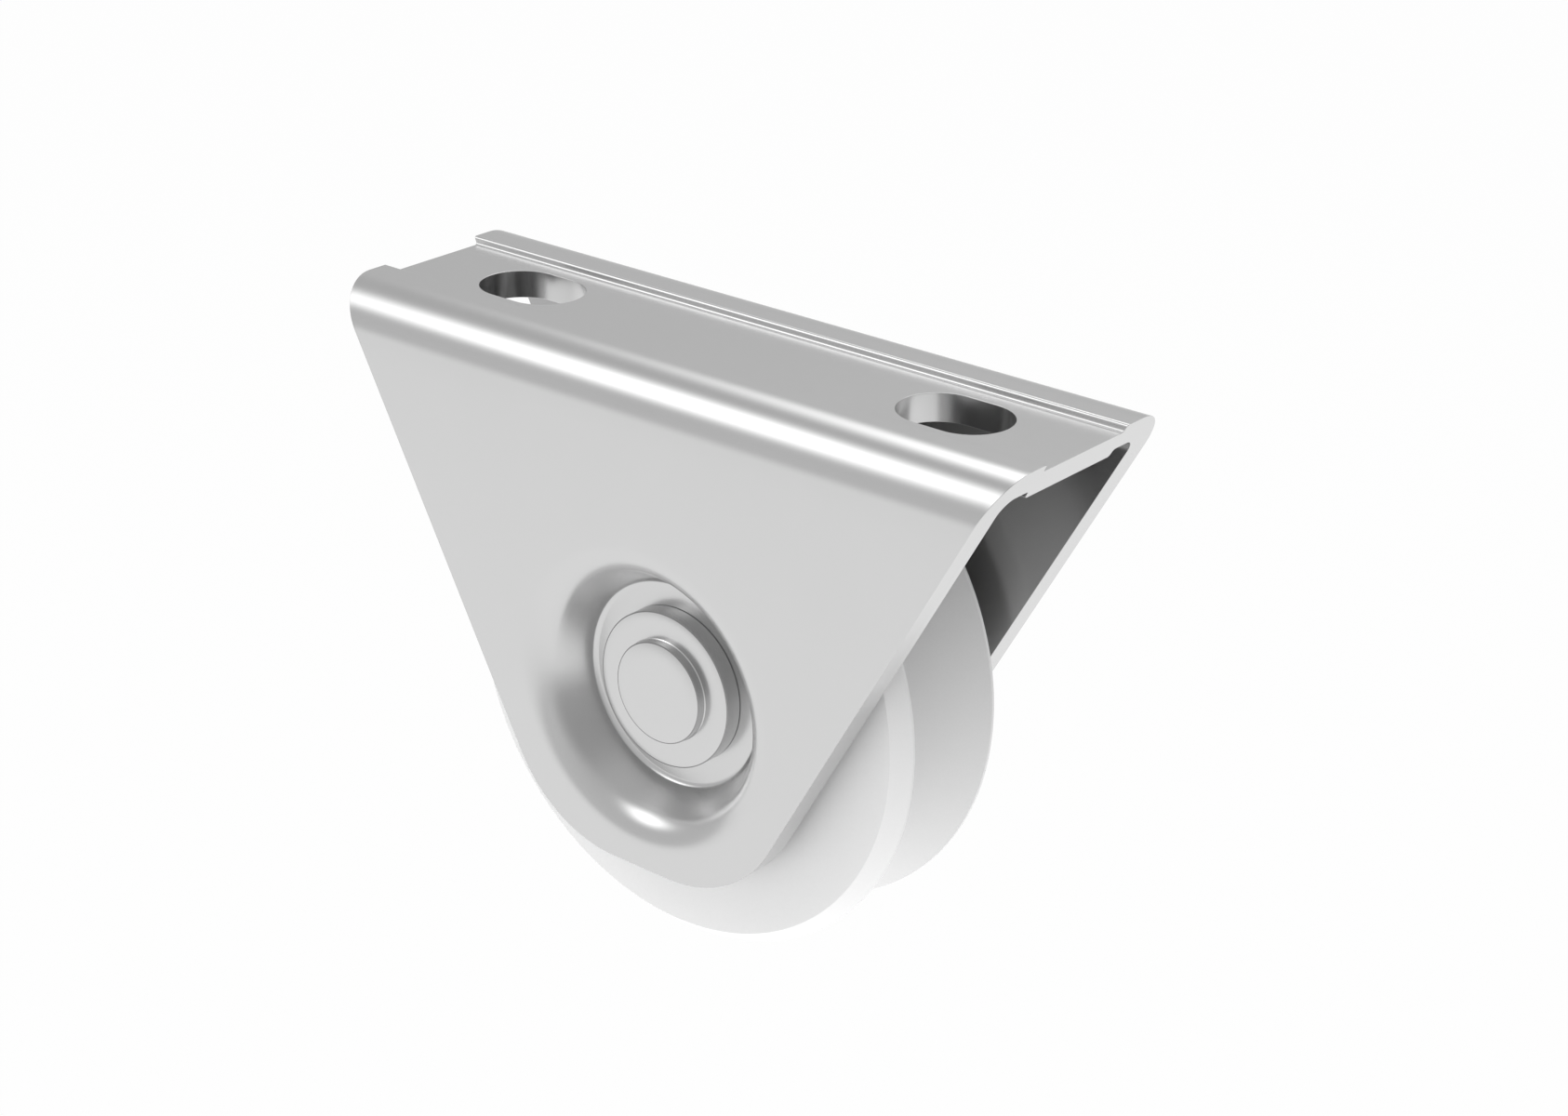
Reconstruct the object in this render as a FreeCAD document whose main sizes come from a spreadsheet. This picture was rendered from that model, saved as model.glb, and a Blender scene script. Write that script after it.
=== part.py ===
"""V groove wheel on a ball bearing, carried between the cheeks of a pressed steel bracket.

Millimetres, +Z up. The origin is the centre of the two fixing slots on the top face of the recessed
web. +X runs along the bracket, Y along the axle; the near cheek is at -Y. Every turned piece is drawn
in its own frame, with the wheel's centre at its origin and its axis along Y, and is then placed on the
axle line.
"""

import FreeCAD
import Part
import math
import os
import Sketcher

SIZES = {
    # the bracket, one folded sheet
    "bracket_length": 77.4,
    "bracket_width": 25.4,
    "sheet": 3.0,
    "inner_bend": 1.5,
    "lip_rise": 0.75,
    "recess_width": 11.95,
    "joggle_run": 0.08,
    "joggle_shift": 0.3,
    "joggle_round": 0.3,
    "cheek_corner": 13.7,
    # the sheet left between a dimple's rim and the slanted end or the foot of its cheek
    "end_margin": 3.3,
    "foot_margin": 2.25,
    # the two fixing slots
    "slot_pitch": 50.0,
    "slot_length": 11.0,
    "slot_width": 8.0,
    # the dimple pressed into each cheek, from the collar that stands on its floor outwards
    "dimple_floor_room": 2.435,
    "dimple_floor_round": 0.7,
    "dimple_lean": 60.0,
    "dimple_inner_round": 0.5,
    # axle, collars and spacers
    "axle_radius": 5.0,
    "axle_stand": 0.9,
    "axle_chamfer": 0.15,
    "collar_wall": 2.7,
    "collar_thickness": 1.8,
    "collar_chamfer": 0.12,
    "spacer_thickness": 0.6,
    "spacer_ease": 0.1,
    # the wheel
    "crest_radius": 26.35,
    "crest_clearance": 1.75,
    "crest_land": 0.3,
    "wheel_half_width": 7.7,
    "rim_chamfer_width": 1.6,
    "rim_chamfer_drop": 1.35,
    "groove_angle": 90.0,
    "groove_root_round": 0.8,
    "recess_mouth": 2.4,
    "recess_draft": 10.0,
    "recess_round": 1.0,
    "hub_wall": 1.2,
    "shoulder_height": 0.9,
    "shoulder_thickness": 0.6,
    # the ball bearing; its width follows from its balls, cage and shields
    "bearing_radius": 13.0,
    "bearing_chamfer": 0.4,
    "ball_share": 0.595,
    "ball_count": 7,
    "ball_clearance": 0.03,
    "inner_race_depth": 0.71,
    "outer_race_depth": 0.51,
    "cage_sheet": 0.45,
    "cage_band": 1.5,
    "cage_clearance": 0.12,
    "rivet_radius": 0.4,
    "rivet_head_radius": 0.65,
    "rivet_head_height": 0.25,
    "shield_clearance": 0.15,
    "shield_sheet": 0.3,
    "shield_dish": 0.25,
    "shield_inset": 0.35,
    "shield_gap": 0.2,
    "shield_seat_depth": 0.45,
}

ALONG_Y = FreeCAD.Rotation(FreeCAD.Vector(1, 0, 0), -90)
SOLID = "PartDesign::Revolution"
CUT = "PartDesign::Groove"

doc = FreeCAD.newDocument("v_groove_wheel")


def make_sheet():
    """Put the driving dimensions into a spreadsheet, one named cell each."""
    sheet = doc.addObject("Spreadsheet::Sheet", "sizes")
    for row, (name, value) in enumerate(SIZES.items(), start=1):
        sheet.set("A%d" % row, name)
        sheet.set("B%d" % row, str(value))
        sheet.setAlias("B%d" % row, name)
    doc.recompute()
    return sheet


def make_derived():
    """Sizes that follow from the driving ones, as expressions in a second sheet."""
    derived = {
        "half_length": "sizes.bracket_length / 2",
        "half_width": "sizes.bracket_width / 2",
        "bend_radius": "sizes.inner_bend + sizes.sheet",
        "step_out": "sizes.recess_width / 2",
        "step_in": "sizes.recess_width / 2 - sizes.joggle_run",
        # the bearing, from its balls outwards
        "ball_radius": "sizes.ball_share * (sizes.bearing_radius - sizes.axle_radius) / 2",
        "ball_pitch_radius": "(sizes.bearing_radius + sizes.axle_radius) / 2",
        "race_round": "derived.ball_radius + sizes.ball_clearance",
        "inner_land_radius": "derived.ball_pitch_radius - derived.race_round + sizes.inner_race_depth",
        "outer_land_radius": "derived.ball_pitch_radius + derived.race_round - sizes.outer_race_depth",
        "cage_pocket": "derived.ball_radius + sizes.cage_clearance",
        "cage_reach": "derived.cage_pocket + sizes.cage_sheet",
        "cage_inner_radius": "derived.ball_pitch_radius - sizes.cage_band / 2",
        "cage_outer_radius": "derived.ball_pitch_radius + sizes.cage_band / 2",
        "shield_inner_face": "derived.cage_reach + sizes.shield_clearance + sizes.shield_dish",
        "shield_outer_face": "derived.shield_inner_face + sizes.shield_sheet",
        "shield_inner_radius": "derived.inner_land_radius + sizes.shield_gap",
        "shield_seat_radius": "derived.outer_land_radius + sizes.shield_seat_depth",
        "bearing_face": "derived.shield_outer_face + sizes.shield_inset",
        # along the axle, from the bearing's face to the axle's end
        "floor_in": "derived.bearing_face + sizes.spacer_thickness",
        "floor_out": "derived.floor_in + sizes.sheet",
        "collar_face": "derived.floor_out + sizes.collar_thickness",
        "axle_end": "derived.collar_face + sizes.axle_stand",
        "spacer_radius": "derived.inner_land_radius - sizes.spacer_ease",
        "collar_radius": "sizes.axle_radius + sizes.collar_wall",
        # the dimple's pressed shape, in distance from the middle plane and radius from the axle
        "dimple_depth": "derived.half_width - derived.floor_out",
        "rim_round": "sizes.dimple_inner_round + sizes.sheet",
        "skin_shift": "sizes.sheet * tan(sizes.dimple_lean / 2)",
        "floor_radius": "derived.collar_radius + sizes.dimple_floor_room",
        "mouth_radius": "derived.floor_radius + derived.dimple_depth / tan(sizes.dimple_lean)",
        "dimple_radius": "derived.mouth_radius + derived.rim_round * tan(sizes.dimple_lean / 2)",
        # the cheek's height and lean, which leave room for the wheel above and hold the dimple
        "axle_drop": "sizes.lip_rise + sizes.sheet + sizes.crest_clearance + sizes.crest_radius",
        "axle_level": "sizes.lip_rise - derived.axle_drop",
        "bracket_height": "derived.axle_drop + derived.dimple_radius + sizes.foot_margin",
        "cheek_foot": "sizes.lip_rise - derived.bracket_height",
        "end_lean": "atan(derived.half_length / derived.axle_drop)"
        " - asin((derived.dimple_radius + sizes.end_margin)"
        " / hypot(derived.half_length; derived.axle_drop))",
        # the wheel
        "wheel_face_radius": "sizes.crest_radius - sizes.rim_chamfer_drop",
        "land_edge": "sizes.wheel_half_width - sizes.rim_chamfer_width",
        "crest_spread": "derived.land_edge - sizes.crest_land",
        "root_radius": "sizes.crest_radius - derived.crest_spread / tan(sizes.groove_angle / 2)",
        "hub_radius": "sizes.bearing_radius + sizes.hub_wall",
        "shoulder_radius": "sizes.bearing_radius - sizes.shoulder_height",
        "shoulder_face": "derived.bearing_face + sizes.shoulder_thickness",
        "recess_mouth_radius": "derived.hub_radius + sizes.recess_mouth",
        "recess_foot_radius": "derived.recess_mouth_radius"
        " - (sizes.wheel_half_width - derived.shoulder_face) * tan(sizes.recess_draft)",
    }
    sheet = doc.addObject("Spreadsheet::Sheet", "derived")
    for row, (name, formula) in enumerate(derived.items(), start=1):
        sheet.set("A%d" % row, name)
        sheet.set("B%d" % row, "=" + formula.replace("derived.", ""))
        sheet.setAlias("B%d" % row, name)
        doc.recompute()
    return sheet


SHEET = make_sheet()
DERIVED = make_derived()


def value_of(formula):
    """Number that a formula in the sheets' names gives."""
    result = SHEET.evalExpression(formula)
    return float(getattr(result, "Value", result))


def bind(owner, path, formula):
    """Tie one property or constraint to a formula in the sheets' names."""
    owner.setExpression(path, formula)


class Outline:
    """Closed sketch outline whose corners, and the rounds on them, are formulas.

    Each corner is a pair of formulas, with a third for the round on it. A rounded corner keeps a
    construction point where its two lines would meet, so the round can change by itself.
    """

    def __init__(self, sketch, corners):
        self.sketch = sketch
        self.corners = [tuple(corner) + (None,) * (3 - len(corner)) for corner in corners]
        self.places = [FreeCAD.Vector(value_of(c[0]), value_of(c[1]), 0) for c in self.corners]
        self.trims = [self._trim(index) for index in range(len(self.corners))]
        self.lines = [self._line(index) for index in range(len(self.corners))]
        for index in range(len(self.corners)):
            self._corner(index)

    def _way(self, index, step):
        """Unit vector from a corner towards the next one in a direction."""
        there = self.places[(index + step) % len(self.places)]
        return (there - self.places[index]).normalize()

    def _trim(self, index):
        """Length that a corner's round takes off each of its two lines."""
        if self.corners[index][2] is None:
            return 0.0
        angle = self._way(index, 1).getAngle(self._way(index, -1))
        return value_of(self.corners[index][2]) / math.tan(angle / 2)

    def _line(self, index):
        """Straight line from this corner to the next, short of both rounds."""
        following = (index + 1) % len(self.places)
        start = self.places[index] + self._way(index, 1) * self.trims[index]
        end = self.places[following] + self._way(following, -1) * self.trims[following]
        return self.sketch.addGeometry(Part.LineSegment(start, end), False)

    def _pin(self, item, point, index):
        """Fix a point of the sketch at a corner's two formulas."""
        for axis, formula, amount in (
            ("DistanceX", self.corners[index][0], self.places[index].x),
            ("DistanceY", self.corners[index][1], self.places[index].y),
        ):
            number = self.sketch.addConstraint(Sketcher.Constraint(axis, -1, 1, item, point, amount))
            bind(self.sketch, "Constraints[%d]" % number, formula)

    def _corner(self, index):
        """Join two lines at a corner, either sharp or through a tangent arc."""
        before = self.lines[index - 1]
        after = self.lines[index]
        if self.corners[index][2] is None:
            self.sketch.addConstraint(Sketcher.Constraint("Coincident", before, 2, after, 1))
            self._pin(after, 1, index)
            return
        radius = value_of(self.corners[index][2])
        start = self.sketch.getPoint(before, 2)
        end = self.sketch.getPoint(after, 1)
        bisector = (self._way(index, 1) + self._way(index, -1)).normalize()
        reach = math.hypot(radius, self.trims[index])
        middle = self.places[index] + bisector * (reach - radius)
        arc_curve = Part.Arc(start, middle, end)
        arc = self.sketch.addGeometry(arc_curve, False)
        first, last = (1, 2) if self.sketch.getPoint(arc, 1).distanceToPoint(start) < 1e-6 else (2, 1)
        self.sketch.addConstraint(Sketcher.Constraint("Tangent", before, 2, arc, first))
        self.sketch.addConstraint(Sketcher.Constraint("Tangent", arc, last, after, 1))
        number = self.sketch.addConstraint(Sketcher.Constraint("Radius", arc, radius))
        bind(self.sketch, "Constraints[%d]" % number, self.corners[index][2])
        tip = self.sketch.addGeometry(Part.Point(self.places[index]), True)
        self._pin(tip, 1, index)
        self.sketch.addConstraint(Sketcher.Constraint("PointOnObject", tip, 1, before))
        self.sketch.addConstraint(Sketcher.Constraint("PointOnObject", tip, 1, after))


def add_body(name):
    """Body for one sub-part, labelled with its node name."""
    body = doc.addObject("PartDesign::Body", name)
    body.Label = name
    return body


def origin_feature(body, role):
    """Plane or axis of a body's own origin."""
    return next(item for item in body.Origin.OriginFeatures if item.Role == role)


def add_sketch(body, name, role):
    """Empty sketch on one of the body's origin planes."""
    sketch = body.newObject("Sketcher::SketchObject", name)
    sketch.AttachmentSupport = [(origin_feature(body, role), "")]
    sketch.MapMode = "FlatFace"
    doc.recompute()
    return sketch


def on_axle(item):
    """Place a piece that is drawn about its own centre on the axle line."""
    bind(item, "Placement.Base.z", "derived.axle_level")


def turn(body, name, sketch, kind):
    """Take a sketch a full turn round its own horizontal axis, as a solid or as a cut."""
    feature = body.newObject(kind, name)
    feature.Profile = sketch
    feature.ReferenceAxis = (sketch, ["H_Axis"])
    feature.Angle = 360.0
    doc.recompute()
    return feature


def add_turned(body, name, corners, kind=SOLID, level="0"):
    """Turn an outline about an axis along Y at a level; corners are (along Y, radius, round)."""
    sketch = add_sketch(body, name + "_outline", "YZ_Plane")
    bind(sketch, "AttachmentOffset.Base.y", level)
    doc.recompute()
    Outline(sketch, corners)
    return turn(body, name, sketch, kind)


def through(feature):
    """Let a cut run right through the body on both sides of its sketch."""
    feature.Type = "ThroughAll"
    feature.SideType = "Symmetric"
    doc.recompute()


def add_channel(body):
    """The folded section, run along the whole length: two cheeks, two bends and the joggled web."""
    under = "sizes.lip_rise - sizes.sheet"
    shift = "sizes.joggle_shift"
    sketch = add_sketch(body, "section", "YZ_Plane")
    Outline(sketch, [
        ("-derived.half_width", "derived.cheek_foot"),
        ("-derived.half_width", "sizes.lip_rise", "derived.bend_radius"),
        ("-derived.step_out", "sizes.lip_rise", "sizes.joggle_round"),
        ("-derived.step_in", "0", "sizes.joggle_round"),
        ("derived.step_in", "0", "sizes.joggle_round"),
        ("derived.step_out", "sizes.lip_rise", "sizes.joggle_round"),
        ("derived.half_width", "sizes.lip_rise", "derived.bend_radius"),
        ("derived.half_width", "derived.cheek_foot"),
        ("derived.half_width - sizes.sheet", "derived.cheek_foot"),
        ("derived.half_width - sizes.sheet", under, "sizes.inner_bend"),
        ("derived.step_out + " + shift, under, "sizes.joggle_round"),
        ("derived.step_in + " + shift, "-sizes.sheet", "sizes.joggle_round"),
        ("-derived.step_in - " + shift, "-sizes.sheet", "sizes.joggle_round"),
        ("-derived.step_out - " + shift, under, "sizes.joggle_round"),
        ("sizes.sheet - derived.half_width", under, "sizes.inner_bend"),
        ("sizes.sheet - derived.half_width", "derived.cheek_foot"),
    ])
    pad = body.newObject("PartDesign::Pad", "channel")
    pad.Profile = sketch
    pad.SideType = "Symmetric"
    bind(pad, "Length", "sizes.bracket_length")
    doc.recompute()
    return pad


def trim_ends(body):
    """Cut both slanted ends and the rounded feet of the cheeks in one side outline."""
    far = "sizes.bracket_length"
    above = "derived.bracket_height"
    top = "(derived.half_length + (%s - sizes.lip_rise) * tan(derived.end_lean))" % above
    foot = "(derived.half_length - derived.bracket_height * tan(derived.end_lean))"
    below = "(derived.cheek_foot - derived.bracket_height)"
    sketch = add_sketch(body, "side_view", "XZ_Plane")
    Outline(sketch, [
        ("-" + far, above),
        ("-" + top, above),
        ("-" + foot, "derived.cheek_foot", "sizes.cheek_corner"),
        (foot, "derived.cheek_foot", "sizes.cheek_corner"),
        (top, above),
        (far, above),
        (far, below),
        ("-" + far, below),
    ])
    cut = body.newObject("PartDesign::Pocket", "side_cut")
    cut.Profile = sketch
    through(cut)
    return cut


def cut_slots(body):
    """One obround slot with its round ends, mirrored to the other end of the web."""
    half = value_of("(sizes.slot_length - sizes.slot_width) / 2")
    centre = value_of("sizes.slot_pitch / 2")
    radius = value_of("sizes.slot_width / 2")
    quarter = math.pi / 2
    sketch = add_sketch(body, "slot_outline", "XY_Plane")
    normal = FreeCAD.Vector(0, 0, 1)
    right_circle = Part.Circle(FreeCAD.Vector(centre + half, 0, 0), normal, radius)
    left_circle = Part.Circle(FreeCAD.Vector(centre - half, 0, 0), normal, radius)
    right = sketch.addGeometry(Part.ArcOfCircle(right_circle, -quarter, quarter), False)
    left = sketch.addGeometry(Part.ArcOfCircle(left_circle, quarter, 3 * quarter), False)
    upper = sketch.addGeometry(Part.LineSegment(
        FreeCAD.Vector(centre + half, radius, 0), FreeCAD.Vector(centre - half, radius, 0)), False)
    lower = sketch.addGeometry(Part.LineSegment(
        FreeCAD.Vector(centre - half, -radius, 0), FreeCAD.Vector(centre + half, -radius, 0)), False)
    sketch.addConstraint(Sketcher.Constraint("Tangent", right, 2, upper, 1))
    sketch.addConstraint(Sketcher.Constraint("Tangent", upper, 2, left, 1))
    sketch.addConstraint(Sketcher.Constraint("Tangent", left, 2, lower, 1))
    sketch.addConstraint(Sketcher.Constraint("Tangent", lower, 2, right, 1))
    sketch.addConstraint(Sketcher.Constraint("PointOnObject", right, 3, -1))
    sketch.addConstraint(Sketcher.Constraint("Horizontal", upper))
    number = sketch.addConstraint(Sketcher.Constraint("Radius", right, radius))
    bind(sketch, "Constraints[%d]" % number, "sizes.slot_width / 2")
    for arc, sign in ((right, "+"), (left, "-")):
        formula = "sizes.slot_pitch / 2 %s (sizes.slot_length - sizes.slot_width) / 2" % sign
        number = sketch.addConstraint(
            Sketcher.Constraint("DistanceX", -1, 1, arc, 3, value_of(formula)))
        bind(sketch, "Constraints[%d]" % number, formula)
    slot = body.newObject("PartDesign::Pocket", "slot")
    slot.Profile = sketch
    through(slot)
    pair = body.newObject("PartDesign::Mirrored", "slot_pair")
    pair.Originals = [slot]
    pair.MirrorPlane = (origin_feature(body, "YZ_Plane"), [""])
    body.Tip = pair
    doc.recompute()
    return pair


def press_dimples(body):
    """Press a round dimple with a flat floor into each cheek, then pierce it for the axle.

    The sheet keeps its thickness: the skin inside the channel is the outer skin moved inwards along
    its own normal, so each of its corners shifts by the sheet times the tangent of half the turn.
    """
    level = "derived.axle_level"
    cheek_in = "(derived.half_width - sizes.sheet)"
    buried = "(derived.half_width - sizes.sheet / 2)"
    outside = "(derived.half_width + sizes.sheet)"
    bulge = add_turned(body, "dimple_bulge", [
        ("-" + buried, "0"),
        ("-" + buried, "derived.dimple_radius + derived.skin_shift"),
        ("-" + cheek_in, "derived.dimple_radius + derived.skin_shift"),
        ("-" + cheek_in, "derived.mouth_radius + derived.skin_shift", "sizes.dimple_inner_round"),
        ("-derived.floor_in", "derived.floor_radius + derived.skin_shift",
         "sizes.dimple_floor_round + sizes.sheet"),
        ("-derived.floor_in", "0"),
    ], SOLID, level)
    hollow = add_turned(body, "dimple_hollow", [
        ("-" + outside, "0"),
        ("-" + outside, "derived.dimple_radius + sizes.sheet"),
        ("-derived.half_width", "derived.dimple_radius + sizes.sheet"),
        ("-derived.half_width", "derived.mouth_radius", "derived.rim_round"),
        ("-derived.floor_out", "derived.floor_radius", "sizes.dimple_floor_round"),
        ("-derived.floor_out", "0"),
    ], CUT, level)
    bore = add_turned(body, "axle_hole", [
        ("-" + outside, "0"),
        ("-" + outside, "sizes.axle_radius"),
        ("sizes.sheet - derived.floor_in", "sizes.axle_radius"),
        ("sizes.sheet - derived.floor_in", "0"),
    ], CUT, level)
    both = body.newObject("PartDesign::Mirrored", "both_cheeks")
    both.Originals = [bulge, hollow, bore]
    both.MirrorPlane = (origin_feature(body, "XZ_Plane"), [""])
    body.Tip = both
    doc.recompute()
    return both


def make_bracket():
    """The folded and pressed steel bracket."""
    body = add_body("bracket")
    add_channel(body)
    trim_ends(body)
    cut_slots(body)
    press_dimples(body)
    return body


def make_axle():
    """Plain pin from end to end, its edges broken."""
    body = add_body("axle")
    add_turned(body, "pin", [
        ("-derived.axle_end", "0"),
        ("-derived.axle_end", "sizes.axle_radius - sizes.axle_chamfer"),
        ("sizes.axle_chamfer - derived.axle_end", "sizes.axle_radius"),
        ("derived.axle_end - sizes.axle_chamfer", "sizes.axle_radius"),
        ("derived.axle_end", "sizes.axle_radius - sizes.axle_chamfer"),
        ("derived.axle_end", "0"),
    ])
    on_axle(body)
    return body


def side_sign(side):
    """Minus for a piece on the near side, plus for one on the far side."""
    return "-" if side == "near" else ""


def make_collar(side):
    """Collar pressed on the axle end against the dimple floor."""
    sign = side_sign(side)
    body = add_body("washer_" + side)
    face = "(derived.collar_face)"
    eased = "(derived.collar_face - sizes.collar_chamfer)"
    add_turned(body, "collar", [
        (sign + "derived.floor_out", "sizes.axle_radius"),
        (sign + "derived.floor_out", "derived.collar_radius"),
        (sign + eased, "derived.collar_radius"),
        (sign + face, "derived.collar_radius - sizes.collar_chamfer"),
        (sign + face, "sizes.axle_radius + sizes.collar_chamfer"),
        (sign + eased, "sizes.axle_radius"),
    ])
    on_axle(body)
    return body


def make_spacer(side):
    """Ring between the dimple's inner face and the bearing's inner ring."""
    sign = side_sign(side)
    body = add_body("spacer_" + side)
    add_turned(body, "ring", [
        (sign + "derived.bearing_face", "sizes.axle_radius"),
        (sign + "derived.bearing_face", "derived.spacer_radius"),
        (sign + "derived.floor_in", "derived.spacer_radius"),
        (sign + "derived.floor_in", "sizes.axle_radius"),
    ])
    on_axle(body)
    return body


def make_wheel():
    """Moulded wheel: V groove, chamfered rims, side recesses and a seat for the bearing."""
    body = add_body("wheel")
    edge = "sizes.wheel_half_width"
    add_turned(body, "rim", [
        ("-derived.bearing_face", "sizes.bearing_radius"),
        ("-derived.bearing_face", "derived.hub_radius"),
        ("-derived.shoulder_face", "derived.hub_radius"),
        ("-derived.shoulder_face", "derived.recess_foot_radius", "sizes.recess_round"),
        ("-" + edge, "derived.recess_mouth_radius"),
        ("-" + edge, "derived.wheel_face_radius"),
        ("-derived.land_edge", "sizes.crest_radius"),
        ("-derived.crest_spread", "sizes.crest_radius"),
        ("0", "derived.root_radius", "sizes.groove_root_round"),
        ("derived.crest_spread", "sizes.crest_radius"),
        ("derived.land_edge", "sizes.crest_radius"),
        (edge, "derived.wheel_face_radius"),
        (edge, "derived.recess_mouth_radius"),
        ("derived.shoulder_face", "derived.recess_foot_radius", "sizes.recess_round"),
        ("derived.shoulder_face", "derived.shoulder_radius"),
        ("derived.bearing_face", "derived.shoulder_radius"),
        ("derived.bearing_face", "sizes.bearing_radius"),
    ])
    on_axle(body)
    return body


def add_raceway(body, name):
    """Round groove that the balls run in, turned about the bearing's axis."""
    sketch = add_sketch(body, name + "_outline", "YZ_Plane")
    radius = value_of("derived.race_round")
    pitch = value_of("derived.ball_pitch_radius")
    circle = sketch.addGeometry(
        Part.Circle(FreeCAD.Vector(0, pitch, 0), FreeCAD.Vector(0, 0, 1), radius), False)
    sketch.addConstraint(Sketcher.Constraint("PointOnObject", circle, 3, -2))
    number = sketch.addConstraint(Sketcher.Constraint("DistanceY", -1, 1, circle, 3, pitch))
    bind(sketch, "Constraints[%d]" % number, "derived.ball_pitch_radius")
    number = sketch.addConstraint(Sketcher.Constraint("Radius", circle, radius))
    bind(sketch, "Constraints[%d]" % number, "derived.race_round")
    return turn(body, name, sketch, CUT)


def make_inner_ring():
    """Inner ring, pressed on the axle."""
    body = add_body("bearing_inner_ring")
    face = "derived.bearing_face"
    eased = "(derived.bearing_face - sizes.bearing_chamfer)"
    add_turned(body, "ring", [
        ("-" + eased, "sizes.axle_radius"),
        ("-" + face, "sizes.axle_radius + sizes.bearing_chamfer"),
        ("-" + face, "derived.inner_land_radius"),
        (face, "derived.inner_land_radius"),
        (face, "sizes.axle_radius + sizes.bearing_chamfer"),
        (eased, "sizes.axle_radius"),
    ])
    add_raceway(body, "raceway")
    on_axle(body)
    return body


def make_outer_ring():
    """Outer ring, pressed in the wheel, with a stepped seat for each shield."""
    body = add_body("bearing_outer_ring")
    face = "derived.bearing_face"
    eased = "(derived.bearing_face - sizes.bearing_chamfer)"
    seat = "derived.shield_inner_face"
    add_turned(body, "ring", [
        ("-" + face, "derived.shield_seat_radius"),
        ("-" + face, "sizes.bearing_radius - sizes.bearing_chamfer"),
        ("-" + eased, "sizes.bearing_radius"),
        (eased, "sizes.bearing_radius"),
        (face, "sizes.bearing_radius - sizes.bearing_chamfer"),
        (face, "derived.shield_seat_radius"),
        (seat, "derived.shield_seat_radius"),
        (seat, "derived.outer_land_radius"),
        ("-" + seat, "derived.outer_land_radius"),
        ("-" + seat, "derived.shield_seat_radius"),
    ])
    add_raceway(body, "raceway")
    on_axle(body)
    return body


def make_shield(side):
    """Pressed shield: a flat rim in the outer ring's seat and a shallow dish inside it."""
    sign = side_sign(side)
    body = add_body("shield_" + side)
    outer = "derived.shield_outer_face"
    inner = "derived.shield_inner_face"
    dish_outer = "(derived.shield_outer_face - sizes.shield_dish)"
    dish_inner = "(derived.shield_inner_face - sizes.shield_dish)"
    rim = "(derived.outer_land_radius - sizes.shield_sheet)"
    fold = "(derived.outer_land_radius - sizes.shield_sheet - sizes.shield_dish)"
    add_turned(body, "disc", [
        (sign + inner, "derived.shield_seat_radius"),
        (sign + outer, "derived.shield_seat_radius"),
        (sign + outer, rim),
        (sign + dish_outer, fold),
        (sign + dish_outer, "derived.shield_inner_radius"),
        (sign + dish_inner, "derived.shield_inner_radius"),
        (sign + dish_inner, fold),
        (sign + inner, rim),
    ])
    on_axle(body)
    return body


def ring_place(item, radius, angle):
    """Formulas that put an item on a circle about the axle, at an angle in degrees."""
    bind(item, "Placement.Base.x", "%s * cos(%s)" % (radius, angle))
    bind(item, "Placement.Base.z", "%s * sin(%s)" % (radius, angle))


def ball_angle(index, offset=0.0):
    """Formula for one ball's angle; an offset of one half is between two balls."""
    return "(360 / sizes.ball_count * %s)" % (index + offset)


def count_of_balls():
    """Number of balls in the cage."""
    return int(round(value_of("sizes.ball_count")))


def add_ball(name, radius, index):
    """Sphere at one ball's place, its poles along Y and its seam turned with it."""
    sphere = doc.addObject("Part::Sphere", name)
    bind(sphere, "Radius", radius)
    turn = FreeCAD.Rotation(FreeCAD.Vector(0, 1, 0), 90 - value_of(ball_angle(index)))
    sphere.Placement.Rotation = turn * ALONG_Y
    ring_place(sphere, "derived.ball_pitch_radius", ball_angle(index))
    return sphere


def gather(label, items):
    """One node that holds a group of like solids, placed on the axle line."""
    group = doc.addObject("Part::Compound", label)
    group.Label = label
    group.Links = items
    on_axle(group)
    return group


def make_balls():
    """The balls, one node."""
    balls = [add_ball("ball_%d" % index, "derived.ball_radius", index)
             for index in range(count_of_balls())]
    return gather("bearing_balls", balls)


def add_rod(name, radius, low, high):
    """Round rod along Y between two distances from the middle plane."""
    rod = doc.addObject("Part::Cylinder", name)
    bind(rod, "Radius", radius)
    bind(rod, "Height", "%s - (%s)" % (high, low))
    rod.Placement.Rotation = ALONG_Y
    bind(rod, "Placement.Base.y", low)
    return rod


def add_cut(name, base, tool):
    """One object less another."""
    cut = doc.addObject("Part::Cut", name)
    cut.Base = base
    cut.Tool = tool
    return cut


def fuse_all(name, items):
    """Union of several objects."""
    union = doc.addObject("Part::MultiFuse", name)
    union.Shapes = items
    return union


def add_rod_between(name, radius, low, high, index):
    """Rod in the middle of the gap after one ball."""
    rod = add_rod(name, radius, low, high)
    ring_place(rod, "derived.ball_pitch_radius", ball_angle(index, 0.5))
    return rod


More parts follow.
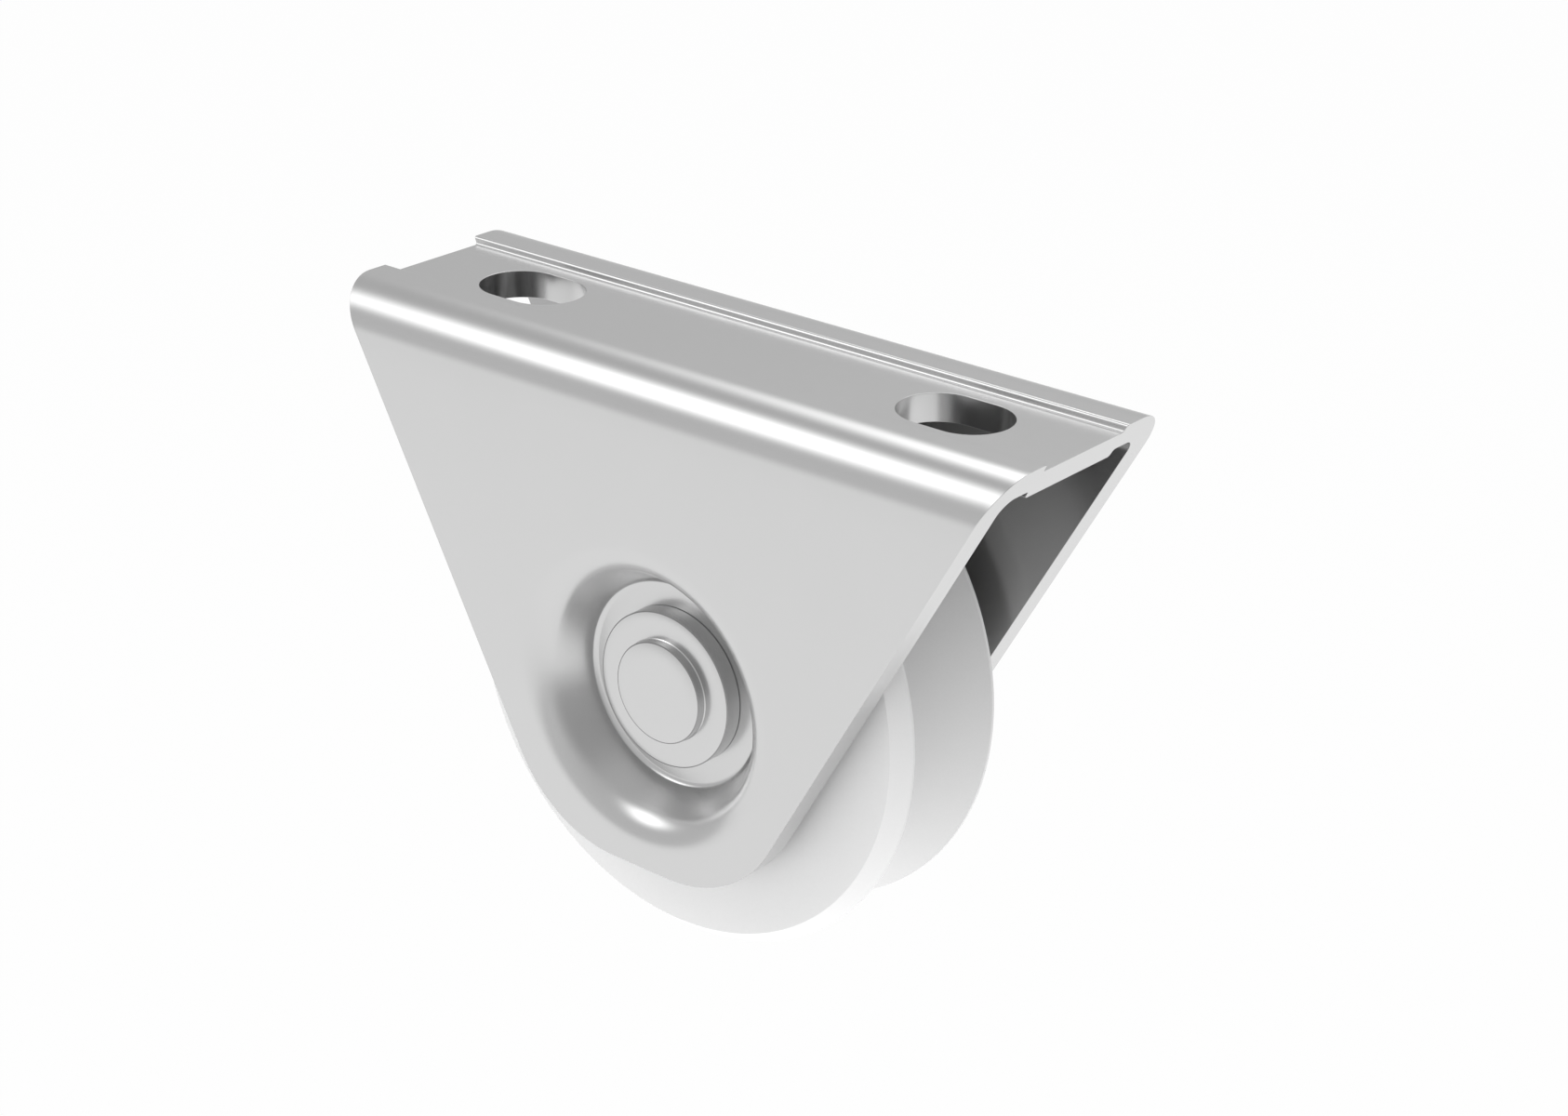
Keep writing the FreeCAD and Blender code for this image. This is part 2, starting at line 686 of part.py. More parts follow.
def make_far_cage_half():
    """The far pressed half of the ribbon cage.

    A flat band lies on the middle plane and swells out over each ball as a round pocket. The pockets
    are spheres one sheet larger than the space round a ball, kept between the band's two edges and on
    the far side of the middle plane.
    """
    reach = "derived.cage_reach"
    numbers = range(count_of_balls())
    plate = add_rod("cage_plate", "derived.cage_outer_radius + sizes.cage_band",
                    "0", "sizes.cage_sheet")
    swells = [add_ball("cage_swell_%d" % index, reach, index) for index in numbers]
    zone = add_cut(
        "cage_zone",
        add_rod("cage_zone_outer", "derived.cage_outer_radius", "0", reach),
        add_rod("cage_zone_inner", "derived.cage_inner_radius", "0", reach))
    ribbon = doc.addObject("Part::Common", "cage_ribbon")
    ribbon.Base = zone
    ribbon.Tool = fuse_all("cage_pressing", [plate] + swells)
    spaces = [add_ball("cage_space_%d" % index, "derived.cage_pocket", index) for index in numbers]
    spaces += [
        add_rod_between("cage_rivet_hole_%d" % index, "sizes.rivet_radius",
                        "-2 * sizes.cage_sheet", "2 * sizes.cage_sheet", index)
        for index in numbers]
    openings = doc.addObject("Part::Compound", "cage_openings")
    openings.Links = spaces
    cage = add_cut("cage_far", ribbon, openings)
    cage.Label = "cage_far"
    on_axle(cage)
    return cage


def make_near_cage_half(far_half):
    """The near half, the far one's mirror image."""
    cage = doc.addObject("Part::Mirroring", "cage_near")
    cage.Label = "cage_near"
    cage.Source = far_half
    cage.Normal = FreeCAD.Vector(0, 1, 0)
    return cage


def make_rivets():
    """Rivets that hold the two cage halves together, with a flat head on each side."""
    outside = "(sizes.cage_sheet + sizes.rivet_head_height)"
    rivets = []
    for index in range(count_of_balls()):
        name = "rivet_%d" % index
        rivets.append(fuse_all(name, [
            add_rod_between(name + "_shank", "sizes.rivet_radius",
                            "-sizes.cage_sheet", "sizes.cage_sheet", index),
            add_rod_between(name + "_near_head", "sizes.rivet_head_radius",
                            "-" + outside, "-sizes.cage_sheet", index),
            add_rod_between(name + "_far_head", "sizes.rivet_head_radius",
                            "sizes.cage_sheet", outside, index),
        ]))
    return gather("cage_rivets", rivets)


def make_all():
    """Every sub-part, from the bracket inwards."""
    nodes = [make_bracket(), make_axle(), make_wheel(), make_inner_ring(), make_outer_ring()]
    for side in ("near", "far"):
        nodes.append(make_collar(side))
        nodes.append(make_spacer(side))
        nodes.append(make_shield(side))
    far_half = make_far_cage_half()
    nodes.append(far_half)
    nodes.append(make_near_cage_half(far_half))
    nodes.append(make_balls())
    nodes.append(make_rivets())
    return nodes


def check_document():
    """Stop if any object failed to build."""
    for item in doc.Objects:
        bad = [state for state in item.State if state in ("Invalid", "Error")]
        if bad:
            raise RuntimeError("%s is %s: %s" % (item.Name, bad, item.getStatusString()))


def export(nodes):
    """Check each sub-part's shape, then write every one of them."""
    for node in nodes:
        if node.Shape.isNull() or not node.Shape.isValid():
            raise RuntimeError("%s has no valid shape" % node.Label)
    os.makedirs("parts", exist_ok=True)
    for node in nodes:
        node.Shape.exportStep(os.path.join("parts", node.Label + ".step"))
        print(node.Label, len(node.Shape.Solids), round(node.Shape.Volume, 3))


NODES = make_all()
doc.recompute()
check_document()
export(NODES)
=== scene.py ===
"""Looks of a V groove wheel in its pressed steel bracket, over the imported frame.

Metres, +Z up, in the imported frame's axes: +X along the bracket, Y along the axle, the near cheek at -Y.
Sizes that the frame can give are read from it. The others are stated in the size classes below.
"""

import logging
import math
from dataclasses import dataclass
from enum import Enum
from typing import Optional, Sequence, Union

import bmesh
import bpy
import numpy as np
from mathutils import Matrix, Vector


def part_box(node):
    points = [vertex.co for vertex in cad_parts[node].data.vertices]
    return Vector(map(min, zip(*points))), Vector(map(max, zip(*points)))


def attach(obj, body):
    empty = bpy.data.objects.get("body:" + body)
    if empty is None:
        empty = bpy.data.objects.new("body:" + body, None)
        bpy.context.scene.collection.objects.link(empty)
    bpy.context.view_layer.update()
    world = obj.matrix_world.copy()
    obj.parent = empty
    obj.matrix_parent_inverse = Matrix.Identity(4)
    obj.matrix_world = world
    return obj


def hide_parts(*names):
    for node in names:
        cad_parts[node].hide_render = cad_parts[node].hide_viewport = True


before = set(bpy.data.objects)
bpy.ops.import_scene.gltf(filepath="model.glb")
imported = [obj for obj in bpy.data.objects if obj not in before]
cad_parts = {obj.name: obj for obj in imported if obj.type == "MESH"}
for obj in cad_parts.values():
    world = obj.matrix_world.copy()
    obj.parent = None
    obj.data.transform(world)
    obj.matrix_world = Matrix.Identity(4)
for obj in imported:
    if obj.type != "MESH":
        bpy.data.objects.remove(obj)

MM = 0.001
# Face attribute of painted shade: one keeps the bright grey, zero takes the darker painted shade grey.
PAINTED_LIGHT = "painted_light"
PHOTO_WIDTH = 1686

log = logging.getLogger("v_groove_wheel")


# Shader building


class Shade:
    """One shader socket that can take part in sums and products."""

    def __init__(self, graph: "Graph", socket: bpy.types.NodeSocket) -> None:
        """Keep the socket and the graph that it belongs to."""
        self.graph = graph
        self.socket = socket

    def _math(self, operation: str, first: "Operand", second: "Operand") -> "Shade":
        """Math node of one operation on two operands."""
        return self.graph.node("ShaderNodeMath", {"operation": operation}, {0: first, 1: second})

    def __add__(self, other: "Operand") -> "Shade":
        """Sum with a number or another socket."""
        return self._math("ADD", self, other)

    def __radd__(self, other: "Operand") -> "Shade":
        """Sum with a number on the left."""
        return self._math("ADD", other, self)

    def __sub__(self, other: "Operand") -> "Shade":
        """Difference from a number or another socket."""
        return self._math("SUBTRACT", self, other)

    def __rsub__(self, other: "Operand") -> "Shade":
        """Difference of a number on the left."""
        return self._math("SUBTRACT", other, self)

    def __mul__(self, other: "Operand") -> "Shade":
        """Product with a number or another socket."""
        return self._math("MULTIPLY", self, other)

    def __rmul__(self, other: "Operand") -> "Shade":
        """Product with a number on the left."""
        return self._math("MULTIPLY", other, self)

    def __abs__(self) -> "Shade":
        """Size without its sign."""
        return self.graph.node("ShaderNodeMath", {"operation": "ABSOLUTE"}, {0: self})


Operand = Union[Shade, float, int, tuple]


class Graph:
    """Node tree of one material, light or world, emptied and built up node by node."""

    def __init__(self, owner: Union[bpy.types.Material, bpy.types.Light, bpy.types.World]) -> None:
        """Turn the owner's nodes on and remove the default ones.

        Args:
            owner: the material, world or light that the nodes belong to.
        """
        owner.use_nodes = True
        self.tree = owner.node_tree
        self.tree.nodes.clear()

    def node(self, kind: str, settings: dict, inputs: dict, output: Union[int, str] = 0) -> Shade:
        """Add one node.

        Args:
            kind: the node's type name.
            settings: properties to set on the node itself.
            inputs: value or socket for each input, by its name or number.
            output: the output to hand back, by its name or number.

        Returns:
            The chosen output, ready for sums.
        """
        made = self.tree.nodes.new(kind)
        for name, value in settings.items():
            setattr(made, name, value)
        for key, value in inputs.items():
            if isinstance(value, Shade):
                self.tree.links.new(value.socket, made.inputs[key])
            else:
                made.inputs[key].default_value = value
        return Shade(self, made.outputs[output])

    def place(self) -> Shade:
        """Object coordinates, in metres."""
        return self.node("ShaderNodeTexCoord", {}, {}, "Object")

    def noise(self, rate: float, detail: float) -> Shade:
        """Even noise from 0 to 1 over the object.

        Args:
            rate: how many features there are in a metre.
            detail: how many finer layers are added.

        Returns:
            The noise's value.
        """
        return self.node("ShaderNodeTexNoise", {}, {
            "Vector": self.place(), "Scale": rate, "Detail": detail})

    def painted_light(self) -> Shade:
        """Share of painted light on the face, from the piece's own attribute; a low share is painted shade.
        """
        return self.node("ShaderNodeAttribute", {"attribute_name": PAINTED_LIGHT}, {}, "Fac")

    def along(self, place: Shade, axis: Union[Vector, tuple]) -> Shade:
        """How far a place or a direction reaches along an axis."""
        return self.node("ShaderNodeVectorMath", {"operation": "DOT_PRODUCT"}, {0: place, 1: axis}, "Value")

    def blend(self, share: Operand, first: Operand, second: Operand) -> Shade:
        """Mix of two colours by a share from 0 to 1."""
        return self.node("ShaderNodeMix", {"data_type": "RGBA"}, {0: share, 6: first, 7: second}, 2)

    def smooth_step(self, value: Shade, none: float, full: float) -> Shade:
        """Smooth rise of a value from zero, at one end of a range, to one at the other."""
        return self.node("ShaderNodeMapRange", {"interpolation_type": "SMOOTHSTEP"}, {
            "Value": value, "From Min": none, "From Max": full, "To Min": 0.0, "To Max": 1.0})

    def finish(self, kind: str, shader: Shade) -> None:
        """Lead a shader to the output node of the given kind."""
        output = self.tree.nodes.new(kind)
        self.tree.links.new(shader.socket, output.inputs["Surface"])


def grey(level: float) -> tuple:
    """Linear colour of one grey level."""
    return (level, level, level, 1.0)


class Lustre(Enum):
    """How sharply a metal mirrors its surroundings, as a shader roughness."""

    SATIN = 0.25
    TURNED = 0.24
    POLISHED = 0.12


@dataclass(frozen=True)
class Metal:
    """Bare steel whose grey and lustre vary a little over the surface.

    Where a painted shade level is given, the piece's face attribute leads from that darker grey, painted
    shade, to the bright one.
    """

    name: str
    level: float
    lustre: Lustre
    # darker grey of painted shade, for faces that the attribute marks as shaded
    painted_shade_level: Optional[float] = None
    level_change: float = 0.008
    lustre_change: float = 0.015
    cloud_rate: float = 90.0
    cloud_detail: float = 3.0
    mark_rate: float = 900.0
    mark_detail: float = 4.0
    grain_rate: float = 9000.0
    grain_detail: float = 2.0
    grain_depth: float = 0.04e-6

    def material(self) -> bpy.types.Material:
        """Build the material.

        Returns:
            A metal whose base colour, roughness and normal follow noise in object coordinates.
        """
        made = bpy.data.materials.new(self.name)
        graph = Graph(made)
        clouds = graph.noise(self.cloud_rate, self.cloud_detail)
        marks = graph.noise(self.mark_rate, self.mark_detail)
        colour = graph.blend(
            clouds, grey(self.level - self.level_change), grey(self.level + self.level_change))
        # Painted shade: faces whose attribute is low are painted with the darker grey.
        if self.painted_shade_level is not None:
            colour = graph.blend(graph.painted_light(), grey(self.painted_shade_level), colour)
        rough = marks * (2 * self.lustre_change) + (self.lustre.value - self.lustre_change)
        grain = graph.noise(self.grain_rate, self.grain_detail)
        normal = graph.node("ShaderNodeBump", {}, {
            "Height": grain, "Distance": self.grain_depth, "Strength": 1.0})
        shader = graph.node("ShaderNodeBsdfPrincipled", {}, {
            "Base Color": colour, "Metallic": 1.0, "Roughness": rough, "Normal": normal}, "BSDF")
        graph.finish("ShaderNodeOutputMaterial", shader)
        return made


@dataclass(frozen=True)
class Plastic:
    """White moulded plastic with a fine matt grain, painted darker as shade where the piece's attribute is
    low, from the bright level down to the shaded one.
    """

    name: str
    level: float = 0.97
    # darker grey of painted shade, for the wheel's groove and, in part, its faces
    painted_shade_level: float = 0.80
    grain_change: float = 0.04
    roughness: float = 0.62
    roughness_change: float = 0.05
    grain_rate: float = 5000.0
    grain_detail: float = 3.0
    grain_depth: float = 3e-6
    grain_strength: float = 0.5

    def material(self) -> bpy.types.Material:
        """Build the material.

        Returns:
            A plastic whose base colour, roughness and normal follow noise in object coordinates.
        """
        made = bpy.data.materials.new(self.name)
        graph = Graph(made)
        grain = graph.noise(self.grain_rate, self.grain_detail)
        # Painted shade: the attribute leads the grey from the shaded level up to the bright one.
        tone = graph.painted_light() * (self.level - self.painted_shade_level) + self.painted_shade_level
        tone = tone * (1.0 - grain * self.grain_change)
        colour = graph.blend(tone, grey(0.0), grey(1.0))
        rough = grain * (2 * self.roughness_change) + (self.roughness - self.roughness_change)
        normal = graph.node("ShaderNodeBump", {}, {
            "Height": grain, "Distance": self.grain_depth, "Strength": self.grain_strength})
        shader = graph.node("ShaderNodeBsdfPrincipled", {}, {
            "Base Color": colour, "Roughness": rough, "Normal": normal}, "BSDF")
        graph.finish("ShaderNodeOutputMaterial", shader)
        return made


# Mesh building


def grid_quads(rows: int, columns: int, closed: bool = False, first: int = 0) -> np.ndarray:
    """Quads between the points of a grid numbered row by row.

    Args:
        rows: number of rows.
        columns: number of points in each row.
        closed: whether each row's last point joins its first.
        first: number of the grid's first point.

    Returns:
        An array of four point numbers a quad.
    """
    numbers = np.arange(rows * columns).reshape(rows, columns) + first
    across = np.roll(numbers, -1, axis=1)
    if not closed:
        numbers, across = numbers[:, :-1], across[:, :-1]
    corners = (numbers[:-1], across[:-1], across[1:], numbers[1:])
    return np.stack(corners, axis=-1).reshape(-1, 4)


def rounded_path(corners: list, arc_steps: int, line_steps: Sequence[int]) -> np.ndarray:
    """Points of an open path of straight lines with tangent arcs at its corners.

    Args:
        corners: (first coordinate, second coordinate, radius) for each corner, ends included.
        arc_steps: number of steps in each arc.
        line_steps: number of steps in each straight line.

    Returns:
        An array of points; a corner of no radius is one point.
    """
    places = np.array([corner[:2] for corner in corners], float)
    parts = []
    start = places[0]
    for index in range(1, len(corners)):
        end = places[index]
        arc = None
        radius = corners[index][2]
        if index < len(corners) - 1 and radius > 0:
            back = places[index - 1] - end
            ahead = places[index + 1] - end
            back /= np.linalg.norm(back)
            ahead /= np.linalg.norm(ahead)
            half = math.acos(float(np.clip(back @ ahead, -1, 1))) / 2
            centre = end + (back + ahead) / np.linalg.norm(back + ahead) * radius / math.sin(half)
            first = end + back * radius / math.tan(half)
            last = end + ahead * radius / math.tan(half)
            share = np.linspace(0, 1, arc_steps + 1)[:, None]
            sweep = math.pi - 2 * half
            arc = centre + (np.sin((1 - share) * sweep) * (first - centre)
                            + np.sin(share * sweep) * (last - centre)) / math.sin(sweep)
            end = first
        share = np.linspace(0, 1, line_steps[index - 1] + 1)[:, None]
        parts.append((start + share * (end - start))[:-1])
        if arc is None:
            start = end
        else:
            parts.append(arc[:-1])
            start = arc[-1]
    parts.append(start[None])
    return np.concatenate(parts)


class Surface:
    """Patches of one surface, gathered and then joined where their borders meet."""

    JOIN = 2e-6
    SLIVER = 0.5e-6

    def __init__(self) -> None:
        """Start with no patch."""
        self.points: list[np.ndarray] = []
        self.quads: list[np.ndarray] = []
        self.count = 0

    def add(self, points: np.ndarray, closed: bool = False,
            keep: Optional[np.ndarray] = None) -> None:
        """Add one grid patch.

        Args:
            points: array of rows, columns and three coordinates.
            closed: whether each row's last point joins its first.
            keep: which quads to keep, one truth value for each, or None for all.
        """
        quads = grid_quads(points.shape[0], points.shape[1], closed, self.count)
        self.quads.append(quads if keep is None else quads[keep.ravel()])
        self.points.append(points.reshape(-1, 3))
        self.count += points.shape[0] * points.shape[1]

    def between(self, first: np.ndarray, second: np.ndarray, steps: int, closed: bool) -> None:
        """Add a ruled patch from one line of points to another."""
        share = np.linspace(0, 1, steps + 1)[:, None, None]
        self.add(first[None] * (1 - share) + second[None] * share, closed)

    def mesh(self, name: str) -> bpy.types.Object:
        """Make the mesh object.

        Args:
            name: the piece's name.

        Returns:
            A linked object at the origin, smooth shaded, with its faces turned outward.
        """
        data = bpy.data.meshes.new(name)
        data.from_pydata(np.concatenate(self.points), [], np.concatenate(self.quads))
        work = bmesh.new()
        work.from_mesh(data)
        bmesh.ops.remove_doubles(work, verts=work.verts, dist=self.JOIN)
        bmesh.ops.dissolve_degenerate(work, edges=work.edges, dist=self.SLIVER)
        bmesh.ops.recalc_face_normals(work, faces=work.faces)
        open_edges = sum(1 for edge in work.edges if not edge.is_manifold)
        work.to_mesh(data)
        work.free()
        data.polygons.foreach_set("use_smooth", np.ones(len(data.polygons), bool))
        made = bpy.data.objects.new(name, data)
        bpy.context.scene.collection.objects.link(made)
        log.info("%s: %d faces, %d open edges", name, len(data.polygons), open_edges)
        return made


def dress(piece: bpy.types.Object, material: bpy.types.Material) -> None:
    """Put one material in all of a mesh's slots.

    Args:
        piece: the mesh object.
        material: the finish that it gets.
    """
    if not piece.material_slots:
        piece.data.materials.append(material)
    for slot in piece.material_slots:
        slot.material = material


def face_data(piece: bpy.types.Object) -> tuple:
    """Centres and normals of a mesh's faces.

    Args:
        piece: the mesh object.

    Returns:
        Two arrays with three coordinates a face.
    """
    faces = piece.data.polygons
    found = []
    for name in ("center", "normal"):
        flat = np.empty(len(faces) * 3)
        faces.foreach_get(name, flat)
        found.append(flat.reshape(-1, 3))
    return tuple(found)


def mark_painted_light(piece: bpy.types.Object, painted_light: np.ndarray) -> None:
    """Keep each face's share of painted light, from 0 (full painted shade) to 1 (none), as an attribute of
    the piece.
    """
    piece.data.attributes.new(PAINTED_LIGHT, "FLOAT", "FACE").data.foreach_set("value", painted_light)


def ease_edges(piece: bpy.types.Object, width: float, sharp_from: float = 50.0,
               segments: int = 2) -> None:
    """Round a piece's sharp edges with a bevel.

    Args:
        piece: the mesh object.
        width: how far each edge is cut back.
        sharp_from: the least turn, in degrees, of an edge that counts as sharp.
        segments: number of faces across the rounded edge.
    """
    bevel = piece.modifiers.new("eased_edges", "BEVEL")
    bevel.width = width
    bevel.segments = segments
    bevel.limit_method = "ANGLE"
    bevel.angle_limit = math.radians(sharp_from)
    bevel.use_clamp_overlap = False
    bevel.harden_normals = True


class Turned:
    """A piece turned about the axle line, from a profile of (along Y, radius, round) corners."""

    SHARP_FROM = 30.0

    def __init__(self, name: str, axle_level: float, turns: int = 256) -> None:
        """Name the piece and say where its axis is.

        Args:
            name: the piece's name.
            axle_level: height of the axle line.
            turns: number of steps round the axis.
        """
        self.name = name
        self.axle_level = axle_level
        self.turns = turns

    def build(self, corners: list, arc_steps: int = 6, line_steps: int = 3) -> bpy.types.Object:
        """Turn the profile once round.

        The surface is (r cos a, y, level + r sin a) for each profile point (y, r) and angle a.

        Args:
            corners: profile in metres, which is closed unless it starts and ends on the axis.
            arc_steps: number of steps in each rounded corner.
            line_steps: number of steps in each straight line.

        Returns:
            The mesh object.
        """
        whole = corners if corners[0][1] == 0.0 else corners + [corners[0]]
        profile = rounded_path(whole, arc_steps, [line_steps] * (len(whole) - 1))
        angle = np.arange(self.turns) * 2 * math.pi / self.turns
        along, radius = profile[:, :1], profile[:, 1:]
        points = np.stack([
            radius * np.cos(angle),
            along + 0 * angle,
            self.axle_level + radius * np.sin(angle)], axis=-1)
        surface = Surface()
        surface.add(points, closed=True)
        piece = surface.mesh(self.name)
        piece.data.set_sharp_from_angle(angle=math.radians(self.SHARP_FROM))
        return piece


# The bracket


@dataclass(frozen=True)
class BracketSize:
    """The folded sheet's own sizes; its overall box comes from the frame."""

    sheet: float = 3.0 * MM
    web_sheet: float = 2.72 * MM
    inner_bend: float = 1.5 * MM
    end_slope: float = math.tan(math.radians(29.008))
    cheek_corner: float = 13.7 * MM
    recess_half_width: float = 5.975 * MM
    recess_depth: float = 0.75 * MM
    joggle_run: float = 0.08 * MM
    joggle_shift: float = 0.3 * MM
    joggle_round: float = 0.3 * MM
    slot_centre: float = 25.0 * MM
    slot_half_length: float = 5.5 * MM
    slot_radius: float = 4.0 * MM
    axle_radius: float = 5.0 * MM
    floor_outside: float = 7.6 * MM
    floor_radius: float = 10.135 * MM
    floor_round: float = 0.7 * MM
    wall_lean: float = math.radians(60.0)
    rim_inner_round: float = 0.5 * MM
    edge_ease: float = 0.05 * MM


@dataclass(frozen=True)
class BracketDetail:
    """How finely the folded sheet is divided."""

    columns: int = 120
    web_rows: int = 16
    bend_steps: int = 20
    side_steps: int = 40
    corner_steps: int = 24
    foot_steps: int = 8
    edge_steps: int = 3
    joggle_steps: tuple = (4, 6, 1)
    dimple_arc_steps: int = 14
    dimple_line_steps: tuple = (6, 6, 3)
    slot_reach: float = 8.6 * MM
    slot_rings: tuple = (0.0, 0.25, 0.5, 0.75, 1.0)
    plate_rings: tuple = (0.0, 0.12, 0.3, 0.5, 0.7, 0.85, 1.0)


class Bracket:
    """One folded and pressed sheet: a joggled web with two slots and two dimpled cheeks."""

    INSIDE_FACING = 0.2
    LEAST_WIDTH = 1e-9

    def __init__(self, axle_level: float, size: BracketSize, detail: BracketDetail) -> None:
        """Read the overall box from the frame.

        Args:
            axle_level: height of the axle line.
            size: the sheet's own sizes.
            detail: how finely the surface is divided.
        """
        low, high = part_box("bracket")
        self.axle_level = axle_level
        self.size = size
        self.detail = detail
        self.half_length = high.x
        self.half_width = high.y
        self.lip = high.z
        self.foot = low.z
        self.bend_level = self.lip - size.sheet - size.inner_bend
        self.columns = np.linspace(-1, 1, detail.columns + 1)

    def end_at(self, level: Union[float, np.ndarray]) -> Union[float, np.ndarray]:
        """Distance of the slanted end from the middle at a height."""
        return self.half_length + (level - self.lip) * self.size.end_slope

    def section(self, inside: bool) -> np.ndarray:
        """Half of one skin's section, from the middle of the web to the start of the cheek.

        Args:
            inside: whether the skin is the channel's inner one.

        Returns:
            Points of distance from the middle plane and height.
        """
        s = self.size
        drop = s.sheet if inside else 0.0
        web_drop = s.web_sheet if inside else 0.0
        shift = s.joggle_shift if inside else 0.0
        bend = s.inner_bend if inside else s.inner_bend + s.sheet
        inner_step = s.recess_half_width - s.joggle_run + shift
        skin = self.half_width - drop
        detail = self.detail
        return rounded_path([
            (0.0, self.lip - s.recess_depth - web_drop, 0.0),
            (inner_step, self.lip - s.recess_depth - web_drop, s.joggle_round),
            (s.recess_half_width + shift, self.lip - web_drop, s.joggle_round),
            (skin, self.lip - web_drop, bend),
            (skin, self.bend_level, 0.0),
        ], detail.bend_steps, [detail.web_rows // 2, *detail.joggle_steps])

    def fold(self, surface: Surface, inside: bool) -> np.ndarray:
        """Add one skin of the web and both bends, with the slots left open.

        Each point is (t end(z), y, z) for a section point (y, z) and t from -1 to 1.

        Args:
            surface: the surface to add to.
            inside: whether the skin is the channel's inner one.

        Returns:
            The skin's points, as rows along the section and columns along the bracket.
        """
        half = self.section(inside)
        near = half[::-1] * (-1, 1)
        whole = np.concatenate([near[:-1], half])
        reach = self.end_at(whole[:, 1])
        points = np.stack([
            reach[:, None] * self.columns,
            np.repeat(whole[:, :1], len(self.columns), axis=1),
            np.repeat(whole[:, 1:], len(self.columns), axis=1)], axis=-1)
        keep = np.ones((len(whole) - 1, len(self.columns) - 1), bool)
        middle = len(half) - 1
        rows = slice(middle - self.detail.web_rows // 2, middle + self.detail.web_rows // 2)
        for columns in self.slot_columns():
            keep[rows, columns] = False
        surface.add(points, keep=keep)
        return points

    def slot_columns(self) -> list:
        """Find where the two slots' patches lie in the fold's grid.

        Returns:
            The left slot's range of columns and the right slot's.
        """
        s = self.size
        web_end = self.end_at(self.lip - s.recess_depth)
        middle = self.detail.columns // 2
        low = round((s.slot_centre - self.detail.slot_reach) / web_end * middle)
        high = round((s.slot_centre + self.detail.slot_reach) / web_end * middle)
        return [slice(middle - high, middle - low), slice(middle + low, middle + high)]

    def slot_outline(self, around: np.ndarray, centre: float) -> np.ndarray:
        """Where rays from a slot's centre to the given points leave the slot.

        Args:
            around: points of length and width on a rectangle round the slot.
            centre: the slot's centre along the bracket.

        Returns:
            Points on the obround, one for each given point.
        """
        s = self.size
        straight = s.slot_half_length - s.slot_radius
        ray = around - (centre, 0.0)
        flat = s.slot_radius / np.maximum(np.abs(ray[:, 1]), self.LEAST_WIDTH)
        along = np.abs(ray[:, 0]) * straight
        square = (ray ** 2).sum(axis=1)
        bow = (along + np.sqrt(along ** 2 + square * (s.slot_radius ** 2 - straight ** 2))) / square
        share = np.where(np.abs(ray[:, 0]) * flat <= straight, flat, bow)
        return ray * share[:, None] + (centre, 0.0)

    def rectangle(self, skin: np.ndarray, columns: slice) -> np.ndarray:
        """Border of the opening that a slot's patch fills.

        Args:
            skin: one skin's points.
            columns: the opening's range of columns.

        Returns:
            The border's points, in order round it.
        """
        middle = (skin.shape[0] - 1) // 2
        low, high = middle - self.detail.web_rows // 2, middle + self.detail.web_rows // 2
        first, last = columns.start, columns.stop
        return np.concatenate([
            skin[low, first:last],
            skin[low:high, last],
            skin[high, last:first:-1],
            skin[high:low:-1, first]])

    def slots(self, surface: Surface, outer: np.ndarray, inner: np.ndarray) -> None:
        """Add the web round each slot on both skins, and the slots' walls.

        Args:
            surface: the surface to add to.
            outer: the outer skin's points.
            inner: the inner skin's points.
        """
        rings = np.array(self.detail.slot_rings)[:, None, None]
        for columns, side in zip(self.slot_columns(), (-1, 1)):
            centre = side * self.size.slot_centre
            border = self.rectangle(outer, columns)
            outline = self.slot_outline(border[:, :2], centre)
            walls = []
            for skin in (outer, inner):
                border = self.rectangle(skin, columns)
                edge = np.column_stack([outline, border[:, 2]])
                surface.add(edge * (1 - rings) + border * rings, closed=True)
                walls.append(edge)
            surface.between(walls[0], walls[1], self.detail.edge_steps, closed=True)

    def cheek_border(self) -> np.ndarray:
        """Outline of a cheek in length and height.

        Returns:
            Points along the top edge, then down one slanted end, along the foot and up the other.
        """
        d = self.detail
        top_end = self.end_at(self.bend_level)
        foot_end = self.end_at(self.foot)
        corner = self.size.cheek_corner
        lower = rounded_path([
            (top_end, self.bend_level, 0.0),
            (foot_end, self.foot, corner),
            (-foot_end, self.foot, corner),
            (-top_end, self.bend_level, 0.0),
        ], d.corner_steps, [d.side_steps, d.foot_steps, d.side_steps])
        top = np.column_stack([self.columns * top_end, np.full(len(self.columns), self.bend_level)])
        return np.concatenate([top[:-1], lower[:-1]])

    def dimple_profile(self, inside: bool) -> np.ndarray:
        """One skin's pressed shape, from the axle hole out to the flat of the cheek.

        Args:
            inside: whether the skin is the channel's inner one.

        Returns:
            Points of distance from the middle plane and radius from the axle.
        """
        s = self.size
        depth = self.half_width - s.floor_outside
        mouth = s.floor_radius + depth / math.tan(s.wall_lean)
        turn = math.tan(s.wall_lean / 2)
        thick = s.sheet if inside else 0.0
        rim = s.rim_inner_round + s.sheet - thick
        outer_rim = s.rim_inner_round + s.sheet
        return rounded_path([
            (s.floor_outside - thick, s.axle_radius, 0.0),
            (s.floor_outside - thick, s.floor_radius + thick * turn, s.floor_round + thick),
            (self.half_width - thick, mouth + thick * turn, rim),
            (self.half_width - thick, mouth + thick * turn + outer_rim * turn, 0.0),
        ], self.detail.dimple_arc_steps, self.detail.dimple_line_steps)

